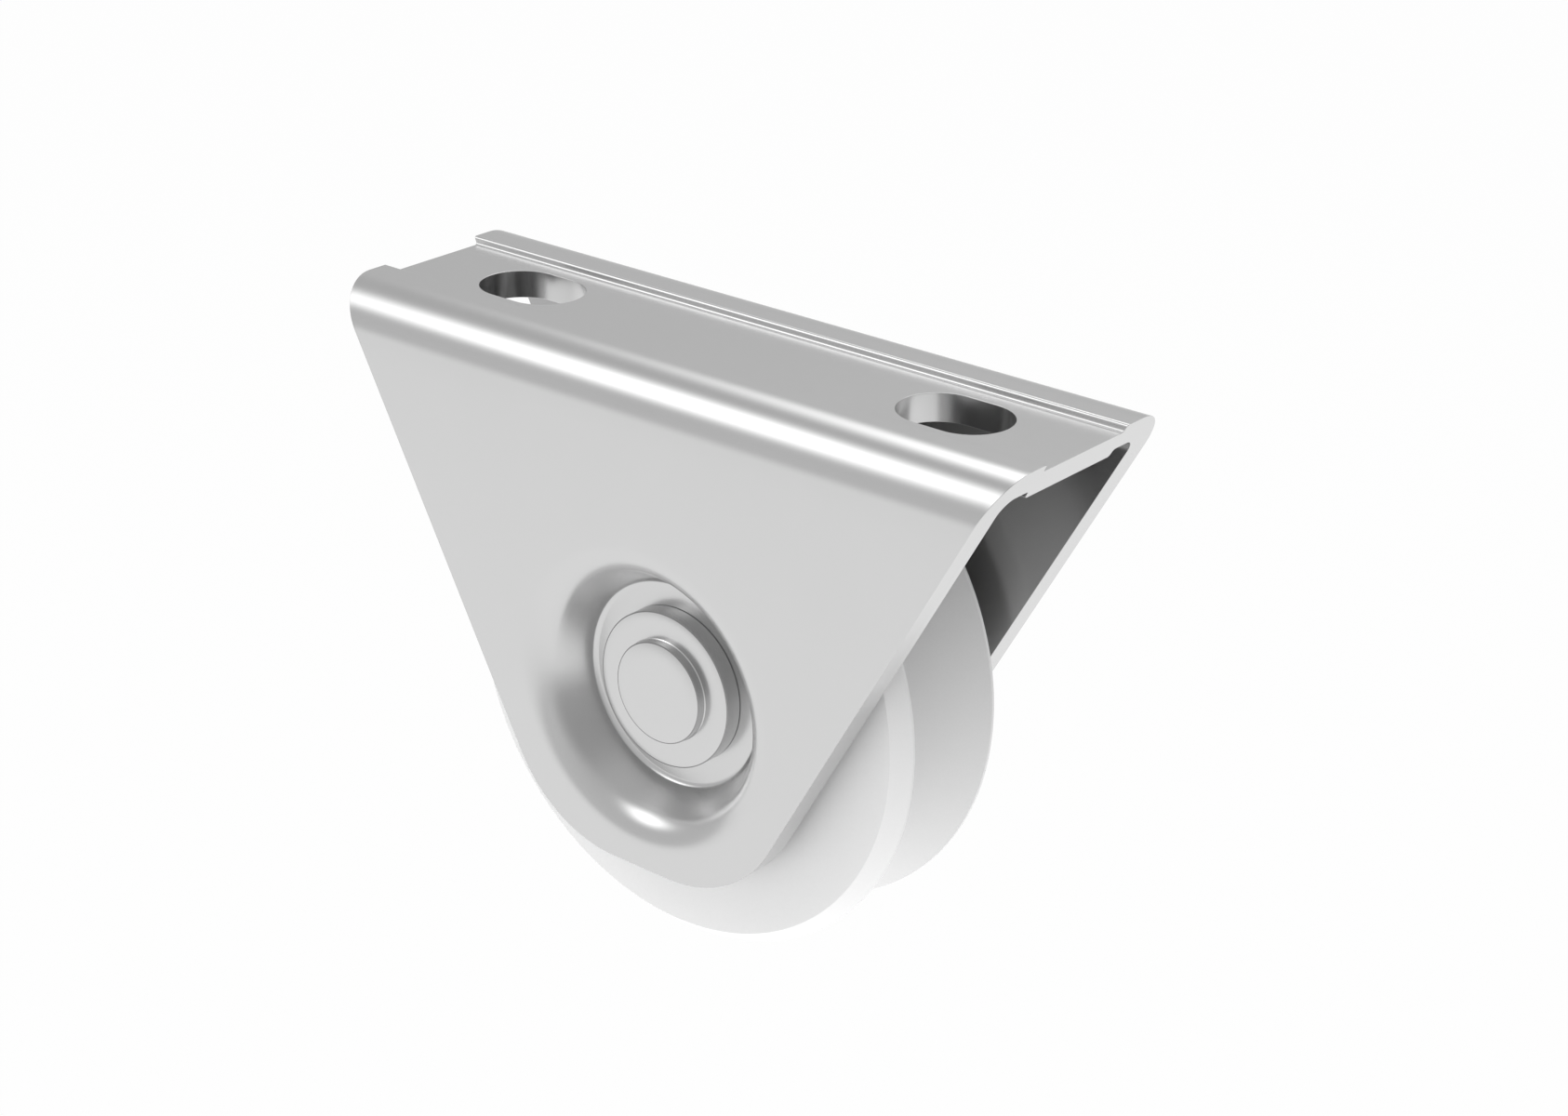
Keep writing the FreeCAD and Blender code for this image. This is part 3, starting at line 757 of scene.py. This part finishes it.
    def cheek_skin(self, surface: Surface, side: int, inside: bool) -> tuple:
        """Add one skin of a cheek, on rays from the axle to the cheek's outline.

        Args:
            surface: the surface to add to.
            side: minus one for the near cheek, plus one for the far one.
            inside: whether the skin is the channel's inner one.

        Returns:
            The skin's border points and the points round its axle hole.
        """
        border = self.cheek_border()
        ray = border - (0.0, self.axle_level)
        reach = np.linalg.norm(ray, axis=1)
        ray /= reach[:, None]
        profile = self.dimple_profile(inside)
        rings = np.array(self.detail.plate_rings)[1:]
        last = profile[-1, 1]
        radius = np.concatenate([
            np.repeat(profile[:, 1:], len(border), axis=1),
            last + rings[:, None] * (reach - last)])
        depth = np.concatenate([profile[:, 0], np.full(len(rings), profile[-1, 0])])
        points = np.stack([
            radius * ray[:, 0],
            side * np.repeat(depth[:, None], len(border), axis=1),
            self.axle_level + radius * ray[:, 1]], axis=-1)
        surface.add(points, closed=True)
        return points[-1], points[0]

    def painted_light(self, piece: bpy.types.Object) -> np.ndarray:
        """Painted shade for each face: none outside and on the slots' walls, full inside the channel,
        standing in for the shade and dark reflections there.

        A face is inside where it faces down under the web or towards the middle plane below it.

        Args:
            piece: the bracket's mesh.

        Returns:
            One share for each face.
        """
        centre, normal = face_data(piece)
        outward = normal[:, 1] * np.sign(centre[:, 1])
        least = self.INSIDE_FACING
        above = centre[:, 2] > self.bend_level
        under = above & (normal[:, 2] < -least) & (np.abs(normal[:, 0]) < least)
        slots = above & (np.abs(centre[:, 1]) < self.size.recess_half_width)
        below = centre[:, 2] < self.lip - self.size.sheet / 2
        inside = below & (outward < -least) & ~slots
        return np.where(under | inside, 0.0, 1.0)

    def build(self, material: bpy.types.Material) -> bpy.types.Object:
        """Build the whole bracket and let it stand for the frame's node.

        Args:
            material: the sheet's finish.

        Returns:
            The bracket's mesh object.
        """
        surface = Surface()
        steps = self.detail.edge_steps
        outer = self.fold(surface, inside=False)
        inner = self.fold(surface, inside=True)
        self.slots(surface, outer, inner)
        for column in (0, -1):
            surface.between(outer[:, column], inner[:, column], steps, closed=False)
        top = len(self.columns) - 1
        for side in (-1, 1):
            outer_border, outer_hole = self.cheek_skin(surface, side, inside=False)
            inner_border, inner_hole = self.cheek_skin(surface, side, inside=True)
            surface.between(outer_hole, inner_hole, steps, closed=True)
            outer_edge = np.concatenate([outer_border[top:], outer_border[:1]])
            inner_edge = np.concatenate([inner_border[top:], inner_border[:1]])
            surface.between(outer_edge, inner_edge, steps, closed=False)
        piece = surface.mesh("bracket_shell")
        # Painted shade: the channel's inner faces get the darker grey of the sheet.
        mark_painted_light(piece, self.painted_light(piece))
        dress(piece, material)
        ease_edges(piece, self.size.edge_ease)
        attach(piece, "bracket_body")
        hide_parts("bracket")
        return piece


# The axle and its collars


@dataclass(frozen=True)
class AxleSize:
    """The axle end and the collar on it."""

    radius: float = 5.0 * MM
    face_cut: float = 0.12 * MM
    side_cut: float = 0.05 * MM
    foot_cut: float = 0.09 * MM
    bead: float = 0.08 * MM
    # share of painted light on the round sides; the rest is painted shade
    side_painted_light: float = 0.6


class Axle:
    """The pin and the two collars that stand on the dimples' floors."""

    SIDE_FACING = 0.3
    CUT_FACING = (0.8, 0.97)

    def __init__(self, axle_level: float, size: AxleSize) -> None:
        """Keep the axle's height and sizes."""
        self.axle_level = axle_level
        self.size = size

    def pin(self) -> bpy.types.Object:
        """Turn the pin, its two ends flat, with a small bead round each end where it leaves a collar.

        Returns:
            The pin's mesh object.
        """
        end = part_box("axle")[1].y
        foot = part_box("washer_far")[1].y
        s = self.size
        half = [
            (end, 0.0, 0.0), (end, s.radius - s.face_cut, 0.0), (end - s.side_cut, s.radius, 0.0),
            (foot + s.bead, s.radius, 0.0), (foot, s.radius + s.bead, 0.0), (foot, s.radius, 0.0)]
        return Turned("axle_pin", self.axle_level).build(
            [(-y, r, turn) for y, r, turn in half] + half[::-1])

    def collar(self, node: str, side: int) -> bpy.types.Object:
        """Turn one collar, its outer edges a little broken at the face and more at the foot.

        Args:
            node: the frame's node that the collar stands for.
            side: minus one for the near collar, plus one for the far one.

        Returns:
            The collar's mesh object.
        """
        low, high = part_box(node)
        foot, face = sorted((abs(low.y), abs(high.y)))
        s = self.size
        return Turned(node + "_ring", self.axle_level).build([
            (side * foot, s.radius, 0.0),
            (side * foot, high.x - s.foot_cut, 0.0),
            (side * (foot + s.foot_cut), high.x, 0.0),
            (side * (face - s.side_cut), high.x, 0.0),
            (side * face, high.x - s.face_cut, 0.0),
            (side * face, s.radius, 0.0),
        ])

    def painted_light(self, piece: bpy.types.Object) -> np.ndarray:
        """Painted shade for each face: none on the ends and beads, part on the round sides, full on the cut
        edges, painted dark as edges in shade.

        Args:
            piece: the pin's or a collar's mesh.

        Returns:
            One share for each face, told by how far its normal leans outward along the axle.
        """
        centre, normal = face_data(piece)
        outward = normal[:, 1] * np.sign(centre[:, 1])
        low, high = self.CUT_FACING
        cut = (outward < -self.SIDE_FACING) | (outward > low) & (outward < high)
        side = np.abs(outward) < self.SIDE_FACING
        return np.select([cut, side], [0.0, self.size.side_painted_light], 1.0)

    def build(self, material: bpy.types.Material) -> None:
        """Build the pin and both collars in one finish, their round sides and cut edges painted darker than
        their faces as shade.

        Args:
            material: the turned steel's finish.
        """
        pieces = {
            "axle": self.pin(),
            "washer_near": self.collar("washer_near", -1),
            "washer_far": self.collar("washer_far", 1),
        }
        for node, piece in pieces.items():
            # Painted shade on the round sides and cut edges, through the face attribute.
            mark_painted_light(piece, self.painted_light(piece))
            dress(piece, material)
            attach(piece, "bracket_body")
            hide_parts(node)


# The wheel


@dataclass(frozen=True)
class WheelSize:
    """The wheel's profile; its crest radius and width come from the frame."""

    chamfer_width: float = 1.6 * MM
    chamfer_drop: float = 1.35 * MM
    crest_land: float = 0.3 * MM
    land_round: float = 0.075 * MM
    root_round: float = 0.8 * MM
    recess_mouth: float = 16.6 * MM
    recess_foot: float = 16.053 * MM
    recess_face: float = 4.6 * MM
    recess_round: float = 1.0 * MM
    hub_radius: float = 14.2 * MM
    bearing_face: float = 4.0 * MM
    bearing_radius: float = 13.0 * MM
    shoulder_radius: float = 12.1 * MM
    edge_round: float = 0.1 * MM
    # share of painted light on the wheel's faces; the rest is painted shade
    face_painted_light: float = 0.65
    turns: int = 360
    line_steps: int = 4


class GrooveWheel:
    """The moulded wheel, turned from its profile with slightly rounded edges."""

    def __init__(self, axle_level: float, size: WheelSize) -> None:
        """Keep the axle's height and sizes."""
        self.axle_level = axle_level
        self.size = size

    def painted_light(self, piece: bpy.types.Object, crest: float, spread: float) -> np.ndarray:
        """Painted shade for each face: none on the crests, part on the faces, full in the groove, where the
        wheel lies in shade.

        Args:
            piece: the wheel's mesh.
            crest: radius of the crests.
            spread: half the groove's width.

        Returns:
            One share for each face.
        """
        centre = face_data(piece)[0]
        radius = np.hypot(centre[:, 0], centre[:, 2] - self.axle_level)
        across = np.abs(centre[:, 1])
        shares = np.where(radius > crest - self.size.chamfer_drop, 1.0, self.size.face_painted_light)
        return np.where(across < spread, 0.0, shares)

    def build(self, material: bpy.types.Material) -> bpy.types.Object:
        """Build the wheel and let it stand for the frame's node.

        Args:
            material: the plastic's finish.

        Returns:
            The wheel's mesh object.
        """
        s = self.size
        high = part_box("wheel")[1]
        crest = high.x
        edge = high.y
        ease = s.edge_round
        land = edge - s.chamfer_width
        spread = land - s.crest_land
        corners = [
            (-s.bearing_face, s.bearing_radius, 0.0),
            (-s.bearing_face, s.hub_radius, 0.0),
            (-s.recess_face, s.hub_radius, ease),
            (-s.recess_face, s.recess_foot, s.recess_round),
            (-edge, s.recess_mouth, ease),
            (-edge, crest - s.chamfer_drop, ease),
            (-land, crest, s.land_round),
            (-spread, crest, s.land_round),
            (0.0, crest - spread, s.root_round),
            (spread, crest, s.land_round),
            (land, crest, s.land_round),
            (edge, crest - s.chamfer_drop, ease),
            (edge, s.recess_mouth, ease),
            (s.recess_face, s.recess_foot, s.recess_round),
            (s.recess_face, s.shoulder_radius, ease),
            (s.bearing_face, s.shoulder_radius, 0.0),
            (s.bearing_face, s.bearing_radius, 0.0),
        ]
        piece = Turned("wheel_rim", self.axle_level, s.turns).build(corners, line_steps=s.line_steps)
        # Painted shade in the groove and on the faces, through the face attribute.
        mark_painted_light(piece, self.painted_light(piece, crest, spread))
        dress(piece, material)
        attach(piece, "wheel_body")
        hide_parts("wheel")
        return piece


# The pieces inside, shown as the frame's own nodes


class Bearing:
    """Rings, balls, cage, rivets, shields and spacers, dressed as they are."""

    RACES = ("bearing_inner_ring", "bearing_outer_ring", "bearing_balls")
    PRESSED = ("cage_near", "cage_far", "cage_rivets", "shield_near", "shield_far")
    SPACERS = ("spacer_near", "spacer_far")

    def build(self, races: bpy.types.Material, pressed: bpy.types.Material,
              turned: bpy.types.Material) -> None:
        """Dress every inner node in its finish.

        Args:
            races: finish of the rings and balls.
            pressed: finish of the cage, its rivets and the shields.
            turned: finish of the spacers.
        """
        for names, material in ((self.RACES, races), (self.PRESSED, pressed), (self.SPACERS, turned)):
            for name in names:
                dress(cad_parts[name], material)
                log.info("%s dressed", name)


# Floor, lights, background and camera


@dataclass(frozen=True)
class Lamp:
    """A rectangular soft box whose light fades out towards its edges."""

    name: str
    azimuth: float
    elevation: float
    distance: float
    width: float
    height: float
    fade: float
    radiance: float

    def falloff(self, graph: Graph, place: Shade, axis: Vector, size: float) -> Shade:
        """Light's share along one of the box's two directions, from one inside to zero at the edge.

        Args:
            graph: the lamp's nodes.
            place: position on the box, from its centre.
            axis: unit vector of the direction.
            size: the box's size in that direction.

        Returns:
            A smooth step that falls over the fading border.
        """
        return graph.smooth_step(abs(graph.along(place, axis)), size / 2, size / 2 - self.fade)

    def build(self, target: Vector) -> bpy.types.Object:
        """Place the soft box so that it faces the target.

        Args:
            target: the point that it lights.

        Returns:
            The light's object.
        """
        turn, rise = math.radians(self.azimuth), math.radians(self.elevation)
        way = Vector((
            math.sin(turn) * math.cos(rise), -math.cos(turn) * math.cos(rise), math.sin(rise)))
        side = Vector((math.cos(turn), math.sin(turn), 0.0))
        centre = target + way * self.distance
        data = bpy.data.lights.new(self.name, "AREA")
        data.shape = "RECTANGLE"
        data.size = self.width
        data.size_y = self.height
        data.energy = self.radiance * math.pi * self.width * self.height
        graph = Graph(data)
        point = graph.node("ShaderNodeNewGeometry", {}, {}, "Position")
        place = graph.node("ShaderNodeVectorMath", {"operation": "SUBTRACT"}, {0: point, 1: centre})
        share = self.falloff(graph, place, side, self.width)
        share = share * self.falloff(graph, place, way.cross(side), self.height)
        graph.finish("ShaderNodeOutputLight", graph.node("ShaderNodeEmission", {}, {"Strength": share}))
        made = bpy.data.objects.new(self.name, data)
        made.matrix_world = Matrix.Translation(centre) @ Matrix(
            (side, way.cross(side), way)).transposed().to_4x4()
        bpy.context.scene.collection.objects.link(made)
        return made


@dataclass(frozen=True)
class Pool:
    """A round patch of the floor with its own strength, which fades smoothly to another round it."""

    centre: tuple
    full_radius: float
    outer_radius: float
    strength_inside: float
    strength_outside: float

    def strength(self, graph: Graph, level: float) -> Shade:
        """Strength at each place on the floor.

        Args:
            graph: the floor's nodes.
            level: height of the floor.

        Returns:
            The strength inside, led by a smooth step of the distance to the strength outside.
        """
        away = graph.node("ShaderNodeVectorMath", {"operation": "DISTANCE"}, {
            0: graph.place(), 1: (*self.centre, level)}, "Value")
        share = graph.smooth_step(away, self.outer_radius, self.full_radius)
        return share * (self.strength_inside - self.strength_outside) + self.strength_outside


@dataclass(frozen=True)
class CameraFit:
    """The camera that was solved from the photograph's edges, in the part's own frame."""

    location: tuple = (0.165151, -0.196408, 0.092414)
    azimuth: float = 38.950
    elevation: float = 23.804
    roll: float = 1.037
    focal_pixels: float = 3232.945
    sensor: float = 36.0
    clip_start: float = 0.01


class Studio:
    """A white floor, a pale grey room, two soft boxes and the camera."""

    LAMPS = (
        Lamp("front_left_lamp", azimuth=-49.4, elevation=41.2, distance=0.80, width=0.64, height=0.665,
             fade=0.30, radiance=1.91),
        Lamp("back_left_lamp", azimuth=-160.0, elevation=57.6, distance=0.80, width=0.98, height=0.81,
             fade=0.405, radiance=2.50),
    )
    FLOOR_RINGS = (0.0, 0.3, 1.0, 3.0, 8.0)
    FLOOR_TURNS = 96
    FLOOR_DROP = 0.25
    FLOOR_COLOUR = 0.95
    SEEN = Pool(centre=(-0.45, 0.9), full_radius=1.3, outer_radius=2.8,
                strength_inside=1.0, strength_outside=0.64)
    BOUNCE = Pool(centre=(-0.20, -0.25), full_radius=0.30, outer_radius=0.95,
                  strength_inside=1.55, strength_outside=0.75)
    HORIZON_LEVEL = 0.64
    TOP_LEVEL = 0.53
    TOP_SIDE = (-0.20, 0.25, 0.95)
    DIM_SIDE = (0.89, -0.16, 0.42)
    DIM_FROM = 0.5
    DIM_SHARE = 0.35
    SHADOW_SHARE = 0.03

    def __init__(self, fit: CameraFit) -> None:
        """Keep the camera's fit."""
        self.fit = fit

    def floor(self, level: float) -> None:
        """Lay a round floor, white in a pool and grey far out, that keeps a light shadow.

        Seen or mirrored, it shows the pool; the rays that light the object from it have their own.

        Args:
            level: height of the floor.
        """
        surface = Surface()
        angle = np.arange(self.FLOOR_TURNS) * 2 * math.pi / self.FLOOR_TURNS
        radius = np.array(self.FLOOR_RINGS)[:, None]
        height = np.full((len(self.FLOOR_RINGS), self.FLOOR_TURNS), level)
        points = np.stack([radius * np.cos(angle), radius * np.sin(angle), height], axis=-1)
        surface.add(points, closed=True)
        piece = surface.mesh("floor")
        made = bpy.data.materials.new("floor_white")
        graph = Graph(made)
        rays = [graph.node("ShaderNodeLightPath", {}, {}, name)
                for name in ("Is Camera Ray", "Is Glossy Ray", "Is Transmission Ray")]
        seen = self.SEEN.strength(graph, level)
        bounce = self.BOUNCE.strength(graph, level)
        strength = bounce + (rays[0] + rays[1] + rays[2]) * (seen - bounce)
        lit = graph.node("ShaderNodeBsdfDiffuse", {}, {"Color": grey(self.FLOOR_COLOUR)})
        white = graph.node("ShaderNodeEmission", {}, {"Strength": strength})
        both = graph.node("ShaderNodeMixShader", {}, {0: 1.0 - self.SHADOW_SHARE, 1: lit, 2: white})
        graph.finish("ShaderNodeOutputMaterial", both)
        dress(piece, made)

    def room(self) -> None:
        """Light the scene from all round with a pale grey, darker overhead and on the right."""
        world = bpy.data.worlds.new("studio_room")
        bpy.context.scene.world = world
        graph = Graph(world)
        way = graph.node("ShaderNodeTexCoord", {}, {}, "Generated")
        level = graph.along(way, self.TOP_SIDE) * (self.TOP_LEVEL - self.HORIZON_LEVEL) + self.HORIZON_LEVEL
        dim = graph.smooth_step(graph.along(way, self.DIM_SIDE), self.DIM_FROM, 1.0)
        graph.finish("ShaderNodeOutputWorld", graph.node("ShaderNodeBackground", {}, {
            "Color": grey(1.0), "Strength": level * (1.0 - dim * self.DIM_SHARE)}))

    def camera(self) -> None:
        """Set the camera that was solved from the photograph."""
        fit = self.fit
        turn, rise, roll = (math.radians(x) for x in (fit.azimuth, fit.elevation, fit.roll))
        level_right = Vector((math.cos(turn), math.sin(turn), 0.0))
        level_up = Vector((
            -math.sin(turn) * math.sin(rise), math.cos(turn) * math.sin(rise), math.cos(rise)))
        right = math.cos(roll) * level_right + math.sin(roll) * level_up
        up = math.cos(roll) * level_up - math.sin(roll) * level_right
        back = right.cross(up)
        data = bpy.data.cameras.new("camera")
        data.sensor_width = fit.sensor
        data.lens = fit.focal_pixels * fit.sensor / PHOTO_WIDTH
        data.clip_start = fit.clip_start
        made = bpy.data.objects.new("camera", data)
        basis = Matrix((right, up, back)).transposed().to_4x4()
        made.matrix_world = Matrix.Translation(Vector(fit.location)) @ basis
        bpy.context.scene.collection.objects.link(made)
        bpy.context.scene.camera = made

    def build(self, target: Vector, floor_level: float) -> None:
        """Set the whole studio up.

        Args:
            target: the point that the lamps face.
            floor_level: height of the floor.
        """
        self.floor(floor_level)
        for lamp in self.LAMPS:
            lamp.build(target)
        self.room()
        self.camera()
        bpy.context.scene.view_settings.view_transform = "Standard"
        log.info("studio ready")


def main() -> None:
    """Build, dress and light the whole scene."""
    logging.basicConfig(level=logging.INFO, format="%(name)s %(message)s")
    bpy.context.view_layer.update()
    low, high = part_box("axle")
    axle_level = (low.z + high.z) / 2

    # The sheet's and turned steel's darker levels are painted shade for their shaded faces.
    sheet = Metal("sheet_steel", level=0.665, lustre=Lustre.SATIN, painted_shade_level=0.43).material()
    turned = Metal("turned_steel", level=0.665, lustre=Lustre.TURNED, painted_shade_level=0.33).material()
    plain = Metal("spacer_steel", level=0.60, lustre=Lustre.TURNED).material()
    races = Metal("bearing_steel", level=0.60, lustre=Lustre.POLISHED).material()
    pressed = Metal("pressed_steel", level=0.50, lustre=Lustre.SATIN).material()

    Bracket(axle_level, BracketSize(), BracketDetail()).build(sheet)
    Axle(axle_level, AxleSize()).build(turned)
    GrooveWheel(axle_level, WheelSize()).build(Plastic("white_plastic").material())
    Bearing().build(races, pressed, plain)

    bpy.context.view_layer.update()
    floor_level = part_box("wheel")[0].z - Studio.FLOOR_DROP
    Studio(CameraFit()).build(Vector((0.0, 0.0, axle_level)), floor_level)


if __name__ == "__main__":
    main()
